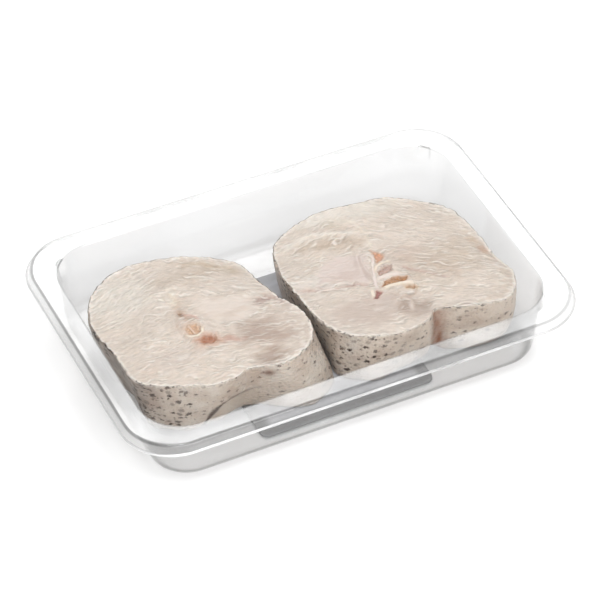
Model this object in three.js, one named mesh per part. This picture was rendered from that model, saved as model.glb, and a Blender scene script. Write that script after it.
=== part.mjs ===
import * as THREE from "three";

// Two raw hake steaks side by side on an absorbent pad in a clear plastic tray, in millimetres.
// +Z is up. The tray's long side lies along X and the side that faces the viewer looks towards -Y.
// The origin is the middle of the underside, where the tray meets the table.

// Tray, one formed sheet: a flat floor, drafted walls, a flat flange and a lip turned down round it.
const TRAY = {
  length: 230,
  width: 155,
  height: 36.5,
  sheet: 0.6,
  flangeWidth: 10.3,
  cornerRadius: 24,
  flangeInnerRadius: 22,
  floorCornerRadius: 18.5,
  floorInsetX: 15,
  floorInsetY: 11.5,
  floorFillet: 6,
  lipDrop: 5,
  lipFlare: 3,
};
// A lug is the small pocket pressed into each corner of the wall, which keeps stacked trays apart.
const LUG = { reach: 2.2, width: 8.4, flank: 2.5, top: 35, full: 31.5, bottom: 27.5 };
const CORNER_STEPS = 12;
// Above 1, this gathers a corner's steps at its middle, where the lug is.
const CORNER_GATHER = 1.3;
const FILLET_STEPS = 4;

// Clearance that keeps touching pieces apart.
const GAP = 0.3;

// Absorbent pad: a thin pillow with a flat sealed border, lying on the floor.
const PAD = {
  minX: -46.8,
  maxX: 44,
  minY: -58.2,
  maxY: 43.5,
  thickness: 2.4,
  borderThickness: 1,
  shoulderHeight: 1.5,
  borderWidth: 4,
  shoulderWidth: 4,
  cornerRadius: 4,
  leastCornerRadius: 1,
};

// Steaks: the cut face is level, and the underside lies on the pad and sags to the floor beside it.
const CUT_HEIGHT = 31;
const RIM_DROP = 0.56;
const FOOT_ROUNDING = 2;
const AROUND = 100;
const SAG_START = 5;
const SAG_END = 15;
// Half the width of a furrow, in degrees round the backbone.
const FURROW_SPREAD = 5;
// Distance of each ring of the cut face from the backbone, as a share of the way to the skin.
const FACE_RINGS = [0, 0.1, 0.2, 0.31, 0.42, 0.53, 0.64, 0.74, 0.83, 0.91, 0.965];
// Height of each ring of the skin side, as a share of the thickness.
const SIDE_RINGS = [0.97, 0.88, 0.74, 0.58, 0.42, 0.26, 0.13, 0.04];
// Distance of each ring of the underside from the backbone, as a share of the way to the skin.
const UNDER_RINGS = [0.97, 0.72, 0.45, 0.2, 0];
// The rings of the cut face rise and fall by turns, as the flakes of muscle do.
const FLAKE_RISE = 0.22;

// Backbone: its sawn end stands a little proud of the flesh at its middle.
const BONE_AROUND = 32;
const BONE_PROUD = 0.3;
const BONE_EDGE_DROP = 0.5;
const BONE_TOP_RINGS = [0.15, 0.32, 0.5, 0.68, 0.85, 1];

const LEFT_STEAK = {
  bone: { x: -56.6, y: -7.6, along: 12, across: 5.6, turn: 105 },
  outline: [
    [-99.8, 25.5], [-88.7, 42], [-71.6, 49.5], [-48.9, 47.2], [-31.4, 39.1], [-19.3, 28],
    [-15.4, 13.6], [-10.9, -0.8], [-6.2, -12.3], [-5.3, -24], [-10.9, -36.3], [-27.5, -43.9],
    [-42.5, -40.6], [-62.7, -42.3], [-90, -31.6], [-97.4, -24.5], [-99, -3.8], [-101.8, 12],
  ],
  // Directions from the backbone, in degrees, of the furrows between the four blocks of muscle.
  furrows: [
    { bearing: 97, depth: 0.9, reach: 0.5 },
    { bearing: 8, depth: 0.6, reach: 0.9 },
    { bearing: 186, depth: 0.3, reach: 0.8 },
    { bearing: -60, depth: 0.4, reach: 0.7 },
  ],
  // Soft rises and hollows of the cut face.
  swells: [
    { x: -40, y: 1, radiusX: 14, radiusY: 9, rise: 0.7 },
    { x: -16, y: -1, radiusX: 7, radiusY: 3.5, rise: -0.8 },
    { x: -33, y: -34, radiusX: 9, radiusY: 5, rise: -1 },
    { x: -80, y: 10, radiusX: 18, radiusY: 26, rise: 0.6 },
    { x: -60, y: 32, radiusX: 24, radiusY: 12, rise: 0.5 },
    { x: -72, y: -24, radiusX: 16, radiusY: 9, rise: 0.5 },
  ],
  // How far the foot of the skin stands in on each side. The left side leans along the tray's wall.
  taper: { left: 7, right: 1, front: 1.5, back: 3 },
  bulge: { left: 0, right: 0.5, front: 0.6, back: 0.6 },
  // Where the flesh spreads outwards towards its foot.
  spreads: [{ bearing: -37, spread: 25, reach: 13 }, { bearing: 224, spread: 30, reach: 4.5 }],
  rollEdges: [{ bearing: -95, spread: 20, drop: 1.5 }],
};

const RIGHT_STEAK = {
  bone: { x: 43.2, y: -8.9, along: 17.5, across: 7.4, turn: 104 },
  outline: [
    [0.6, 31.3], [8.6, 37.5], [20.1, 42.5], [33, 45.4], [48.3, 43.9], [65.8, 41.3],
    [80, 31.6], [91.9, 18.7], [95.2, 1], [97, -19], [99.4, -33], [91.6, -46.1],
    [75.5, -48.5], [63, -45.3], [54, -42.8], [47.5, -46.3], [28.9, -49.5], [13.5, -44.7],
    [2.7, -35.9], [-1.6, -24.7], [-3.4, -9.6], [-4.9, 6.6], [-3.9, 18.7],
  ],
  furrows: [
    { bearing: 176, depth: 0.9, reach: 0.95 },
    { bearing: 96, depth: 0.5, reach: 0.8 },
    { bearing: 12, depth: 0.4, reach: 0.6 },
    { bearing: -75, depth: 0.7, reach: 1 },
  ],
  swells: [
    { x: 17, y: 4, radiusX: 17, radiusY: 9, rise: 0.8 },
    { x: 20, y: 28, radiusX: 20, radiusY: 10, rise: 0.6 },
    { x: 47, y: -33, radiusX: 10, radiusY: 9, rise: -1.1 },
    { x: 75, y: 8, radiusX: 18, radiusY: 22, rise: 0.6 },
    { x: 24, y: -34, radiusX: 18, radiusY: 9, rise: 0.6 },
  ],
  taper: { left: 3.5, right: 1, front: 2, back: 3 },
  bulge: { left: 0, right: 1.2, front: 0.6, back: 0.6 },
  spreads: [{ bearing: 226, spread: 28, reach: 6 }],
  rollEdges: [{ bearing: -25, spread: 30, drop: 3 }],
};

// Crease in the left steak's front, where the skin overlaps the belly flap below it. The line holds
// x and height on the skin.
const CREASE = {
  line: [[-68.5, 1], [-65.5, 8.2], [-62.5, 13.5], [-60, 15.7], [-56, 17.1], [-50, 17.4], [-38, 17]],
  step: 1.3,
  softness: 2.5,
  fadeX: -38,
  fadeWidth: 10,
};
// Slit in the right steak's front, where the belly was opened, as a groove in the skin.
const SLIT = { x: 53.5, halfWidth: 4, depth: 2.2, faceY: -30 };

const lerp = THREE.MathUtils.lerp;
const clamp = THREE.MathUtils.clamp;
const smoothstep = THREE.MathUtils.smoothstep;
const degrees = THREE.MathUtils.radToDeg;
const radians = THREE.MathUtils.degToRad;

// Joins rings of equal length into one closed skin. The rings run anticlockwise seen from above, in
// the order outwards over the top, down the side and inwards below. A hub closes a fan at an end.
function loft(rings, topHub, bottomHub) {
  const count = rings[0].length;
  const vertices = rings.flat();
  const faces = [];
  const at = (ring, i) => ring * count + (i % count);
  const band = (a, b) => {
    for (let i = 0; i < count; i += 1) {
      faces.push(at(a, i), at(b, i), at(b, i + 1));
      faces.push(at(a, i), at(b, i + 1), at(a, i + 1));
    }
  };
  for (let ring = 0; ring + 1 < rings.length; ring += 1) {
    band(ring, ring + 1);
  }
  if (topHub) {
    const hub = vertices.push(topHub) - 1;
    for (let i = 0; i < count; i += 1) {
      faces.push(hub, at(0, i), at(0, i + 1));
    }
  }
  if (bottomHub) {
    const hub = vertices.push(bottomHub) - 1;
    const last = rings.length - 1;
    for (let i = 0; i < count; i += 1) {
      faces.push(hub, at(last, i + 1), at(last, i));
    }
  }
  if (!topHub && !bottomHub) {
    band(rings.length - 1, 0);
  }
  const positions = vertices.flatMap((vertex) => vertex.toArray());
  const geometry = new THREE.BufferGeometry();
  geometry.setAttribute("position", new THREE.Float32BufferAttribute(positions, 3));
  geometry.setIndex(faces);
  geometry.computeVertexNormals();
  return geometry;
}

// Share of the way round a corner at a step.
function cornerShare(step) {
  const aside = 2 * step / CORNER_STEPS - 1;
  return (1 + Math.sign(aside) * Math.abs(aside) ** CORNER_GATHER) / 2;
}

// A rounded rectangle at height z. bulge(share, radius) gives how far a corner's points are pushed
// outwards, where share runs from 0 to 1 round the corner.
function roundedRing(halfX, halfY, radius, z, bulge = () => 0) {
  const points = [];
  for (let corner = 0; corner < 4; corner += 1) {
    const signX = corner === 0 || corner === 3 ? 1 : -1;
    const signY = corner < 2 ? 1 : -1;
    for (let step = 0; step <= CORNER_STEPS; step += 1) {
      const share = cornerShare(step);
      const angle = (corner + share) * Math.PI / 2;
      const out = radius + bulge(share, radius);
      const x = signX * (halfX - radius) + out * Math.cos(angle);
      const y = signY * (halfY - radius) + out * Math.sin(angle);
      points.push(new THREE.Vector3(x, y, z));
    }
  }
  return points;
}

// The tray's section as stations from the middle of the floor out to the lip, on the underside of
// the sheet. Each holds its inset from the flange's edge along X and Y, its height and its radius.
function trayStations() {
  const stations = [];
  const floorRadius = TRAY.floorCornerRadius;
  for (let step = 0; step <= FILLET_STEPS; step += 1) {
    const angle = step / FILLET_STEPS * Math.PI / 2;
    const inwards = TRAY.floorFillet * (1 - Math.sin(angle));
    stations.push({
      insetX: TRAY.floorInsetX + inwards,
      insetY: TRAY.floorInsetY + inwards,
      z: TRAY.floorFillet * (1 - Math.cos(angle)),
      radius: floorRadius - inwards,
      lug: 0,
    });
  }
  const flangeUnderside = TRAY.height - TRAY.sheet;
  const wall = (z, lug) => {
    const rise = (z - TRAY.floorFillet) / (flangeUnderside - TRAY.floorFillet);
    return {
      insetX: lerp(TRAY.floorInsetX, TRAY.flangeWidth, rise),
      insetY: lerp(TRAY.floorInsetY, TRAY.flangeWidth, rise),
      z,
      radius: lerp(floorRadius, TRAY.flangeInnerRadius, rise),
      lug,
    };
  };
  stations.push(wall(LUG.bottom, 0), wall(LUG.full, 1), wall(LUG.top, 1), wall(flangeUnderside, 1));
  stations.push({
    insetX: TRAY.sheet,
    insetY: TRAY.sheet,
    z: flangeUnderside,
    radius: TRAY.cornerRadius,
    lug: 0,
  });
  stations.push({
    insetX: -TRAY.lipFlare + TRAY.sheet,
    insetY: -TRAY.lipFlare + TRAY.sheet,
    z: TRAY.height - TRAY.lipDrop,
    radius: TRAY.cornerRadius + TRAY.lipFlare,
    lug: 0,
  });
  return stations;
}

// Unit normal of the section at a station, pointing to the upper side of the sheet.
function sheetNormal(stations, index) {
  if (index === 0) {
    return new THREE.Vector2(0, 1);
  }
  const before = stations[index - 1];
  const after = stations[Math.min(index + 1, stations.length - 1)];
  const along = new THREE.Vector2(before.insetX - after.insetX, after.z - before.z);
  return new THREE.Vector2(-along.y, along.x).normalize();
}

function trayGeometry() {
  const stations = trayStations();
  const lugBulge = (amount) => (share, radius) => {
    const fromMiddle = Math.abs(share - 0.5) * radius * Math.PI / 2;
    const fade = smoothstep(fromMiddle, LUG.width / 2 - LUG.flank, LUG.width / 2);
    return amount * LUG.reach * (1 - fade);
  };
  const ring = (station, shiftOut, shiftUp) => roundedRing(
    TRAY.length / 2 - station.insetX + shiftOut,
    TRAY.width / 2 - station.insetY + shiftOut,
    station.radius + shiftOut,
    station.z + shiftUp,
    lugBulge(station.lug),
  );
  const underside = stations.map((station) => ring(station, 0, 0));
  const upperside = stations.map((station, index) => {
    const normal = sheetNormal(stations, index);
    return ring(station, normal.x * TRAY.sheet, normal.y * TRAY.sheet);
  });
  const floorTop = new THREE.Vector3(0, 0, TRAY.sheet);
  const floorBottom = new THREE.Vector3(0, 0, 0);
  return loft([...upperside, ...underside.reverse()], floorTop, floorBottom);
}

function padGeometry() {
  const floor = TRAY.sheet + GAP;
  const halfX = (PAD.maxX - PAD.minX) / 2;
  const halfY = (PAD.maxY - PAD.minY) / 2;
  const ring = (inset, height) => {
    const radius = Math.max(PAD.cornerRadius - inset, PAD.leastCornerRadius);
    return roundedRing(halfX - inset, halfY - inset, radius, floor + height);
  };
  const rings = [
    ring(halfX / 2, PAD.thickness),
    ring(PAD.borderWidth + PAD.shoulderWidth, PAD.thickness),
    ring(PAD.borderWidth, PAD.shoulderHeight),
    ring(0, PAD.borderThickness),
    ring(0, 0),
  ];
  const top = new THREE.Vector3(0, 0, floor + PAD.thickness);
  const geometry = loft(rings, top, new THREE.Vector3(0, 0, floor));
  geometry.translate(PAD.minX + halfX, PAD.minY + halfY, 0);
  return geometry;
}

// Height of the underside of a steak: on the pad, and down on the floor beside it.
function bedHeight(x, y) {
  const beyondX = Math.max(PAD.minX - x, x - PAD.maxX, 0);
  const beyondY = Math.max(PAD.minY - y, y - PAD.maxY, 0);
  const beyond = Math.hypot(beyondX, beyondY);
  const onFloor = TRAY.sheet + GAP;
  const onPad = onFloor + PAD.thickness + GAP;
  return lerp(onPad, onFloor, smoothstep(beyond, SAG_START, SAG_END));
}

// Half the room between the tray's short walls at a height, less the clearance.
function roomX(z) {
  const floorReach = TRAY.length / 2 - TRAY.floorInsetX;
  const flangeReach = TRAY.length / 2 - TRAY.flangeWidth;
  const rise = Math.max(z - TRAY.floorFillet, 0) / (TRAY.height - TRAY.floorFillet);
  const belowWall = Math.min(Math.max(TRAY.floorFillet + TRAY.sheet - z, 0), TRAY.floorFillet);
  const fillet = TRAY.floorFillet - Math.sqrt(TRAY.floorFillet ** 2 - belowWall ** 2);
  return lerp(floorReach, flangeReach, rise) - fillet - TRAY.sheet - 2 * GAP;
}

// Distance between two bearings, in degrees.
function bearingGap(a, b) {
  return Math.abs(((a - b + 540) % 360) - 180);
}

// The backbone's outline: an ellipse, long in the direction of its turn.
function boneEdge(bone, bearing, grow) {
  const angle = radians(bearing - bone.turn);
  const along = bone.along + grow;
  const across = bone.across + grow;
  const reach = along * across / Math.hypot(across * Math.cos(angle), along * Math.sin(angle));
  return new THREE.Vector2(reach * Math.cos(radians(bearing)), reach * Math.sin(radians(bearing)));
}

// Height of the cut face above or below its plane at a point. share is 0 at the bone, 1 at the skin.
function faceRelief(steak, x, y, share, bearing) {
  let height = 0;
  for (const swell of steak.swells) {
    const distance = Math.hypot((x - swell.x) / swell.radiusX, (y - swell.y) / swell.radiusY);
    height += swell.rise * Math.exp(-distance * distance);
  }
  for (const furrow of steak.furrows) {
    const aside = bearingGap(bearing, furrow.bearing) / FURROW_SPREAD;
    const fade = 1 - smoothstep(share, furrow.reach * 0.6, furrow.reach);
    height -= furrow.depth * Math.exp(-aside * aside) * fade;
  }
  for (const roll of steak.rollEdges) {
    const aside = 1 - smoothstep(bearingGap(bearing, roll.bearing), roll.spread * 0.5, roll.spread);
    height -= roll.drop * aside * smoothstep(share, 0.75, 1.05) ** 1.5;
  }
  return height;
}

// How far the skin stands in from its outline at a height share, by the side that it faces.
function sideInset(steak, bearing, share) {
  const toX = Math.cos(radians(bearing));
  const toY = Math.sin(radians(bearing));
  const blend = (sides) => {
    const sideways = toX < 0 ? sides.left : sides.right;
    const lengthways = toY < 0 ? sides.front : sides.back;
    return sideways * toX ** 2 + lengthways * toY ** 2;
  };
  let inset = blend(steak.taper) * (1 - share) - blend(steak.bulge) * Math.sin(Math.PI * share);
  inset += FOOT_ROUNDING * (1 - share) ** 4;
  for (const spread of steak.spreads) {
    const aside = 1 - smoothstep(bearingGap(bearing, spread.bearing), spread.spread * 0.3, spread.spread);
    inset -= spread.reach * aside * (1 - share);
  }
  return inset;
}

// Height of the crease over x.
function creaseHeight(x) {
  const after = CREASE.line.findIndex(([stationX]) => stationX > x);
  const [fromX, fromZ] = CREASE.line[after - 1];
  const [toX, toZ] = CREASE.line[after];
  return lerp(fromZ, toZ, (x - fromX) / (toX - fromX));
}

// The belly flap's overlap: the skin below the crease stands back a little.
function creaseInset(point, z) {
  if (point.x < CREASE.line[0][0] || point.x >= CREASE.fadeX || point.y > 0) {
    return 0;
  }
  const below = smoothstep(creaseHeight(point.x) - z, 0, CREASE.softness);
  const fade = 1 - smoothstep(point.x, CREASE.fadeX - CREASE.fadeWidth, CREASE.fadeX);
  return CREASE.step * below * fade;
}

function slitInset(point) {
  const aside = (point.x - SLIT.x) / SLIT.halfWidth;
  return point.y < SLIT.faceY ? SLIT.depth * Math.exp(-aside * aside) : 0;
}

// One steak: a thick slice with an opening right through it for the backbone.
function steakGeometry(steak, skinInset) {
  const curve = new THREE.CatmullRomCurve3(
    steak.outline.map(([x, y]) => new THREE.Vector3(x, y, 0)),
    true,
    "centripetal",
  );
  const edge = curve.getSpacedPoints(AROUND).slice(0, AROUND).reverse();
  const centre = new THREE.Vector2(steak.bone.x, steak.bone.y);
  const spokes = edge.map((point) => {
    const out = new THREE.Vector2(point.x - centre.x, point.y - centre.y);
    const bearing = degrees(out.angle());
    const tunnel = boneEdge(steak.bone, bearing, GAP);
    return { out, tunnel, bearing, facing: out.clone().normalize() };
  });
  const place = (spoke, share, inset) => {
    const offset = spoke.tunnel.clone().lerp(spoke.out, share);
    const drawnIn = offset.length() - inset;
    return centre.clone().add(offset.setLength(drawnIn));
  };
  const faceZ = (spoke, point, share) => {
    const relief = faceRelief(steak, point.x, point.y, share, spoke.bearing);
    return CUT_HEIGHT + relief;
  };
  const rimInset = (spoke, share) => {
    const z = CUT_HEIGHT * share;
    const point = place(spoke, 1, 0);
    return sideInset(steak, spoke.bearing, share) + skinInset(point, z);
  };

  const face = FACE_RINGS.map((share, index) => spokes.map((spoke) => {
    const point = place(spoke, share, share * Math.max(rimInset(spoke, 1), 0));
    const flake = index === 0 ? 0 : FLAKE_RISE * (index % 2 ? 1 : -1);
    return new THREE.Vector3(point.x, point.y, faceZ(spoke, point, share) + flake);
  }));
  const side = SIDE_RINGS.map((share) => spokes.map((spoke) => {
    const point = place(spoke, 1, rimInset(spoke, share));
    const low = bedHeight(point.x, point.y);
    const high = faceZ(spoke, point, 1) - RIM_DROP;
    const z = lerp(low, high, share);
    return new THREE.Vector3(clamp(point.x, -roomX(z), roomX(z)), point.y, z);
  }));
  const under = UNDER_RINGS.map((share) => spokes.map((spoke) => {
    const inset = rimInset(spoke, 0) * share;
    const point = place(spoke, share, inset);
    const z = bedHeight(point.x, point.y);
    return new THREE.Vector3(clamp(point.x, -roomX(z), roomX(z)), point.y, z);
  }));
  return loft([...face, ...side, ...under]);
}

// The backbone of a steak: a post from the pad to the cut face, with its hollows and ridges on top.
function boneGeometry(steak, hollows) {
  const bone = steak.bone;
  const topHeight = (x, y, share) => {
    let z = CUT_HEIGHT + BONE_PROUD - BONE_EDGE_DROP * share;
    for (const hollow of hollows) {
      const distance = Math.hypot((x - hollow.x) / hollow.radiusX, (y - hollow.y) / hollow.radiusY);
      z += hollow.rise * Math.exp(-(distance ** 2));
    }
    return z;
  };
  const bearings = Array.from({ length: BONE_AROUND }, (_, i) => i * 360 / BONE_AROUND);
  const ring = (share, height) => bearings.map((bearing) => {
    const reach = boneEdge(bone, bearing, 0).multiplyScalar(share);
    const x = bone.x + reach.x;
    const y = bone.y + reach.y;
    return new THREE.Vector3(x, y, height(x, y, share));
  });
  const rings = [
    ...BONE_TOP_RINGS.map((share) => ring(share, topHeight)),
    ring(1, bedHeight),
    ring(0.5, bedHeight),
  ];
  const topHub = new THREE.Vector3(bone.x, bone.y, topHeight(bone.x, bone.y, 0));
  const bottomHub = new THREE.Vector3(bone.x, bone.y, bedHeight(bone.x, bone.y));
  return loft(rings, topHub, bottomHub);
}

const LEFT_BONE_RELIEF = [
  { x: -58.5, y: -4.5, radiusX: 3.2, radiusY: 3.4, rise: -1.2 },
  { x: -58, y: -9.4, radiusX: 4.5, radiusY: 1.8, rise: 0.7 },
  { x: -54.5, y: -14.5, radiusX: 3.6, radiusY: 2.8, rise: -1.8 },
];
const RIGHT_BONE_RELIEF = [
  { x: 44, y: 4.5, radiusX: 3, radiusY: 3.4, rise: 0.6 },
  { x: 43, y: -1.9, radiusX: 5, radiusY: 1.6, rise: 0.6 },
  { x: 43, y: -6.5, radiusX: 4.5, radiusY: 2, rise: -1.4 },
  { x: 43.5, y: -11.4, radiusX: 6, radiusY: 1.6, rise: 0.7 },
  { x: 44.5, y: -15.6, radiusX: 6, radiusY: 1.8, rise: -1.7 },
  { x: 43, y: -19, radiusX: 6.5, radiusY: 1.4, rise: 0.6 },
  { x: 45, y: -22.6, radiusX: 5, radiusY: 1.6, rise: -1 },
];

const clearPlastic = new THREE.MeshStandardMaterial({
  color: 0xf4f7f8,
  roughness: 0.08,
  metalness: 0,
  transparent: true,
  opacity: 0.35,
});
const greyPad = new THREE.MeshStandardMaterial({ color: 0x8c8f98, roughness: 0.85, metalness: 0 });
const rawFlesh = new THREE.MeshStandardMaterial({ color: 0xd9c3b1, roughness: 0.4, metalness: 0 });
const backbone = new THREE.MeshStandardMaterial({ color: 0xcf9c84, roughness: 0.45, metalness: 0 });

function named(name, geometry, material) {
  const mesh = new THREE.Mesh(geometry, material);
  mesh.name = name;
  return mesh;
}

function leftSteak() {
  const group = new THREE.Group();
  group.add(named("steak_left", steakGeometry(LEFT_STEAK, creaseInset), rawFlesh));
  group.add(named("backbone_left", boneGeometry(LEFT_STEAK, LEFT_BONE_RELIEF), backbone));
  return group;
}

function rightSteak() {
  const group = new THREE.Group();
  group.add(named("steak_right", steakGeometry(RIGHT_STEAK, slitInset), rawFlesh));
  group.add(named("backbone_right", boneGeometry(RIGHT_STEAK, RIGHT_BONE_RELIEF), backbone));
  return group;
}

const traySteaks = new THREE.Group();
traySteaks.add(named("tray", trayGeometry(), clearPlastic));
traySteaks.add(named("absorbent_pad", padGeometry(), greyPad));
traySteaks.add(leftSteak(), rightSteak());

export default traySteaks;
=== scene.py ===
"""Two raw hake steaks on a grey pad in a clear plastic tray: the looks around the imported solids.

Sizes are in millimetres until a mesh is made, and +X is the tray's long side. The cut face of each
steak is described once, as height and colour over x and y, and flesh and backbone both follow it.
"""
import math

import bpy
import numpy as np
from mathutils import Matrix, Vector


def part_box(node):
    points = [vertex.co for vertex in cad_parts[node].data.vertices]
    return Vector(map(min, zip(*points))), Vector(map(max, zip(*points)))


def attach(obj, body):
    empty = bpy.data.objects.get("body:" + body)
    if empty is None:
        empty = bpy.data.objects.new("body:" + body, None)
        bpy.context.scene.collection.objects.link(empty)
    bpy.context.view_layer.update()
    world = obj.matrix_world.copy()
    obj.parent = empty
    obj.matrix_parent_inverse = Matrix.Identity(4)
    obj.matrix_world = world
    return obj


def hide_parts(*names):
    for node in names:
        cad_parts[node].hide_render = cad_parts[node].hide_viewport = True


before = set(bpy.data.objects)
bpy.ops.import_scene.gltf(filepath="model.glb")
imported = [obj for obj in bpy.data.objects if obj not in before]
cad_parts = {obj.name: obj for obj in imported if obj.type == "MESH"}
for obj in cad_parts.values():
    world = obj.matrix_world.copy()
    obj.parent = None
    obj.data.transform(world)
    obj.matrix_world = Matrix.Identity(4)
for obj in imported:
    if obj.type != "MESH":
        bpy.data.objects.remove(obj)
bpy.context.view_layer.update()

MM = 0.001


# Sizes read from the imported parts


def node_box(name):
    low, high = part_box(name)
    return np.array(low) / MM, np.array(high) / MM


TRAY_HIGH = node_box("tray")[1]
PAD_LOW, PAD_HIGH = node_box("absorbent_pad")

# Tray section, outwards from the floor. The flange's nominal edge stands in from the lip's foot.
LIP_REACH = 2.9
FLANGE_X = TRAY_HIGH[0] - LIP_REACH
FLANGE_Y = TRAY_HIGH[1] - LIP_REACH
TRAY_TOP = TRAY_HIGH[2]
SHEET = 0.6
FLANGE_WIDTH = 10.3
FLOOR_INSET_X = 15
FLOOR_INSET_Y = 11.5
FLOOR_FILLET = 6
FLANGE_RADIUS = 24
FLANGE_INNER_RADIUS = 22
FLOOR_RADIUS = 18.5
LIP_FOOT_Z = 31.6
LIP_FLARE = 1.1
SHEET_BEND = 1.1
LUG_REACH = 2.2
LUG_WIDTH = 8.4
LUG_FLANK = 2.5
LUG_BOTTOM_Z = 27.5
LUG_FULL_Z = 31.5

GAP = 0.3
CUT_HEIGHT = 31
FOOT_ROUNDING = 2
SAG_START = 5
SAG_END = 15

# The rows of a steak, with directions in degrees round the backbone:
# furrows: direction, depth, reach. swells: x, y, their two radii, rise
# taper and bulge: at the left, right, front and back. spreads: direction, spread, reach of the foot
# roll_edges: direction, spread, drop
LEFT_STEAK = {
    "bone": {"x": -56.6, "y": -7.6, "along": 12, "across": 5.6, "turn": 105},
    "outline": [
        (-99.8, 25.5), (-88.7, 42), (-71.6, 49.5), (-48.9, 47.2), (-31.4, 39.1), (-19.3, 28),
        (-15.4, 13.6), (-10.9, -0.8), (-6.2, -12.3), (-5.3, -24), (-10.9, -36.3), (-27.5, -43.9),
        (-42.5, -40.6), (-62.7, -42.3), (-90, -31.6), (-97.4, -24.5), (-99, -3.8), (-101.8, 12),
    ],
    "furrows": [(97, 0.9, 0.5), (8, 0.6, 0.9), (186, 0.3, 0.8), (-60, 0.4, 0.7)],
    "swells": [
        (-40, 1, 14, 9, 0.7), (-16, -1, 7, 3.5, -0.8), (-33, -34, 9, 5, -1), (-80, 10, 18, 26, 0.6),
        (-60, 32, 24, 12, 0.5), (-72, -24, 16, 9, 0.5),
    ],
    "taper": (7, 1, 1.5, 3),
    "bulge": (0, 0.5, 0.6, 0.6),
    "spreads": [(-37, 25, 13), (224, 30, 4.5)],
    "roll_edges": [(-95, 20, 1.5)],
}
RIGHT_STEAK = {
    "bone": {"x": 43.2, "y": -8.9, "along": 17.5, "across": 7.4, "turn": 104},
    "outline": [
        (0.6, 31.3), (8.6, 37.5), (20.1, 42.5), (33, 45.4), (48.3, 43.9), (65.8, 41.3),
        (80, 31.6), (91.9, 18.7), (95.2, 1), (97, -19), (99.4, -33), (91.6, -46.1),
        (75.5, -48.5), (63, -45.3), (54, -42.8), (47.5, -46.3), (28.9, -49.5), (13.5, -44.7),
        (2.7, -35.9), (-1.6, -24.7), (-3.4, -9.6), (-4.9, 6.6), (-3.9, 18.7),
    ],
    "furrows": [(176, 0.9, 0.95), (96, 0.5, 0.8), (12, 0.4, 0.6), (-75, 0.7, 1)],
    "swells": [
        (17, 4, 17, 9, 0.8), (20, 28, 20, 10, 0.6), (47, -33, 10, 9, -1.1), (75, 8, 18, 22, 0.6),
        (24, -34, 18, 9, 0.6),
    ],
    "taper": (3.5, 1, 2, 3),
    "bulge": (0, 1.2, 0.6, 0.6),
    "spreads": [(226, 28, 6)],
    "roll_edges": [(-25, 30, 3)],
}
CREASE = {
    "line": [(-68.5, 1), (-65.5, 8.2), (-62.5, 13.5), (-60, 15.7), (-56, 17.1), (-50, 17.4), (-38, 17)],
    "step": 1.3, "softness": 2.5, "fade_x": -38, "fade": 10,
}
SLIT = {"x": 53.5, "middle_z": 20, "lean": 0.12, "half_width": 4, "depth": 2.2, "face_y": -30}
WOUND_SPOT = {"x": -36, "z": 26, "half_width": 3, "half_height": 1.7}


# Number tools


def smoothstep(value, low, high):
    t = np.clip((value - low) / (high - low), 0, 1)
    return t * t * (3 - 2 * t)


def fall(value, low, high):
    return 1 - smoothstep(value, low, high)


def mix(a, b, share):
    return a + (b - a) * share


def lattice(ix, iy, seed):
    """Repeatable value from 0 to 1 for each lattice point."""
    mask = np.uint64(0xFFFFFFFF)
    h = ix.astype(np.int64).astype(np.uint64) * np.uint64(374761393)
    h += iy.astype(np.int64).astype(np.uint64) * np.uint64(668265263)
    h += np.uint64(seed * 974634777)
    h &= mask
    h = ((h ^ (h >> np.uint64(13))) * np.uint64(1274126177)) & mask
    h = ((h ^ (h >> np.uint64(15))) * np.uint64(2246822519)) & mask
    return (h >> np.uint64(8)).astype(float) / float(1 << 24)


def noise(u, v, seed):
    """Smooth noise from -1 to 1 with a feature size of 1."""
    u, v = np.broadcast_arrays(np.asarray(u, float), np.asarray(v, float))
    iu, iv = np.floor(u), np.floor(v)
    fu, fv = u - iu, v - iv
    fu, fv = fu * fu * (3 - 2 * fu), fv * fv * (3 - 2 * fv)
    low = mix(lattice(iu, iv, seed), lattice(iu + 1, iv, seed), fu)
    high = mix(lattice(iu, iv + 1, seed), lattice(iu + 1, iv + 1, seed), fu)
    return 2 * mix(low, high, fv) - 1


def rough_noise(u, v, seed, octaves=3):
    total, size, weight = 0, 1, 1
    for octave in range(octaves):
        total = total + weight * noise(u * size, v * size, seed + 17 * octave)
        size, weight = size * 2.03, weight * 0.5
    return total


def line_distance(x, y, points):
    """Distance to a chain of points, and how far along the chain the nearest place is, 0 to 1."""
    best = np.full(np.shape(x), np.inf)
    along = np.zeros(np.shape(x))
    points = [np.array(p, float) for p in points]
    lengths = [np.linalg.norm(b - a) for a, b in zip(points, points[1:])]
    start = 0
    for (ax, ay), (bx, by), length in zip(points, points[1:], lengths):
        t = np.clip(((x - ax) * (bx - ax) + (y - ay) * (by - ay)) / length ** 2, 0, 1)
        distance = np.hypot(x - ax - t * (bx - ax), y - ay - t * (by - ay))
        nearer = distance < best
        best = np.where(nearer, distance, best)
        along = np.where(nearer, (start + t * length) / sum(lengths), along)
        start += length
    return best, along


def depth_inside(x, y, corners):
    """Distance to the edge of a closed outline, positive inside it and negative outside."""
    distance, _ = line_distance(x, y, list(corners) + [corners[0]])
    inside = np.zeros(np.shape(x), bool)
    for (ax, ay), (bx, by) in zip(corners, list(corners[1:]) + [corners[0]]):
        crosses = (ay > y) != (by > y)
        inside ^= crosses & (x < ax + (y - ay) * (bx - ax) / ((by - ay) or 1e-9))
    return np.where(inside, distance, -distance)


def pigment(red, green, blue):
    """Linear colour of a named shade."""
    shade = np.array([red, green, blue]) / 255
    return np.where(shade <= 0.04045, shade / 12.92, ((shade + 0.055) / 1.055) ** 2.4)


def dye(colour, shade, share):
    """The colours moved towards a shade, each by its own share."""
    return mix(colour, shade, np.asarray(share)[..., None])


# Meshes


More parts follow.
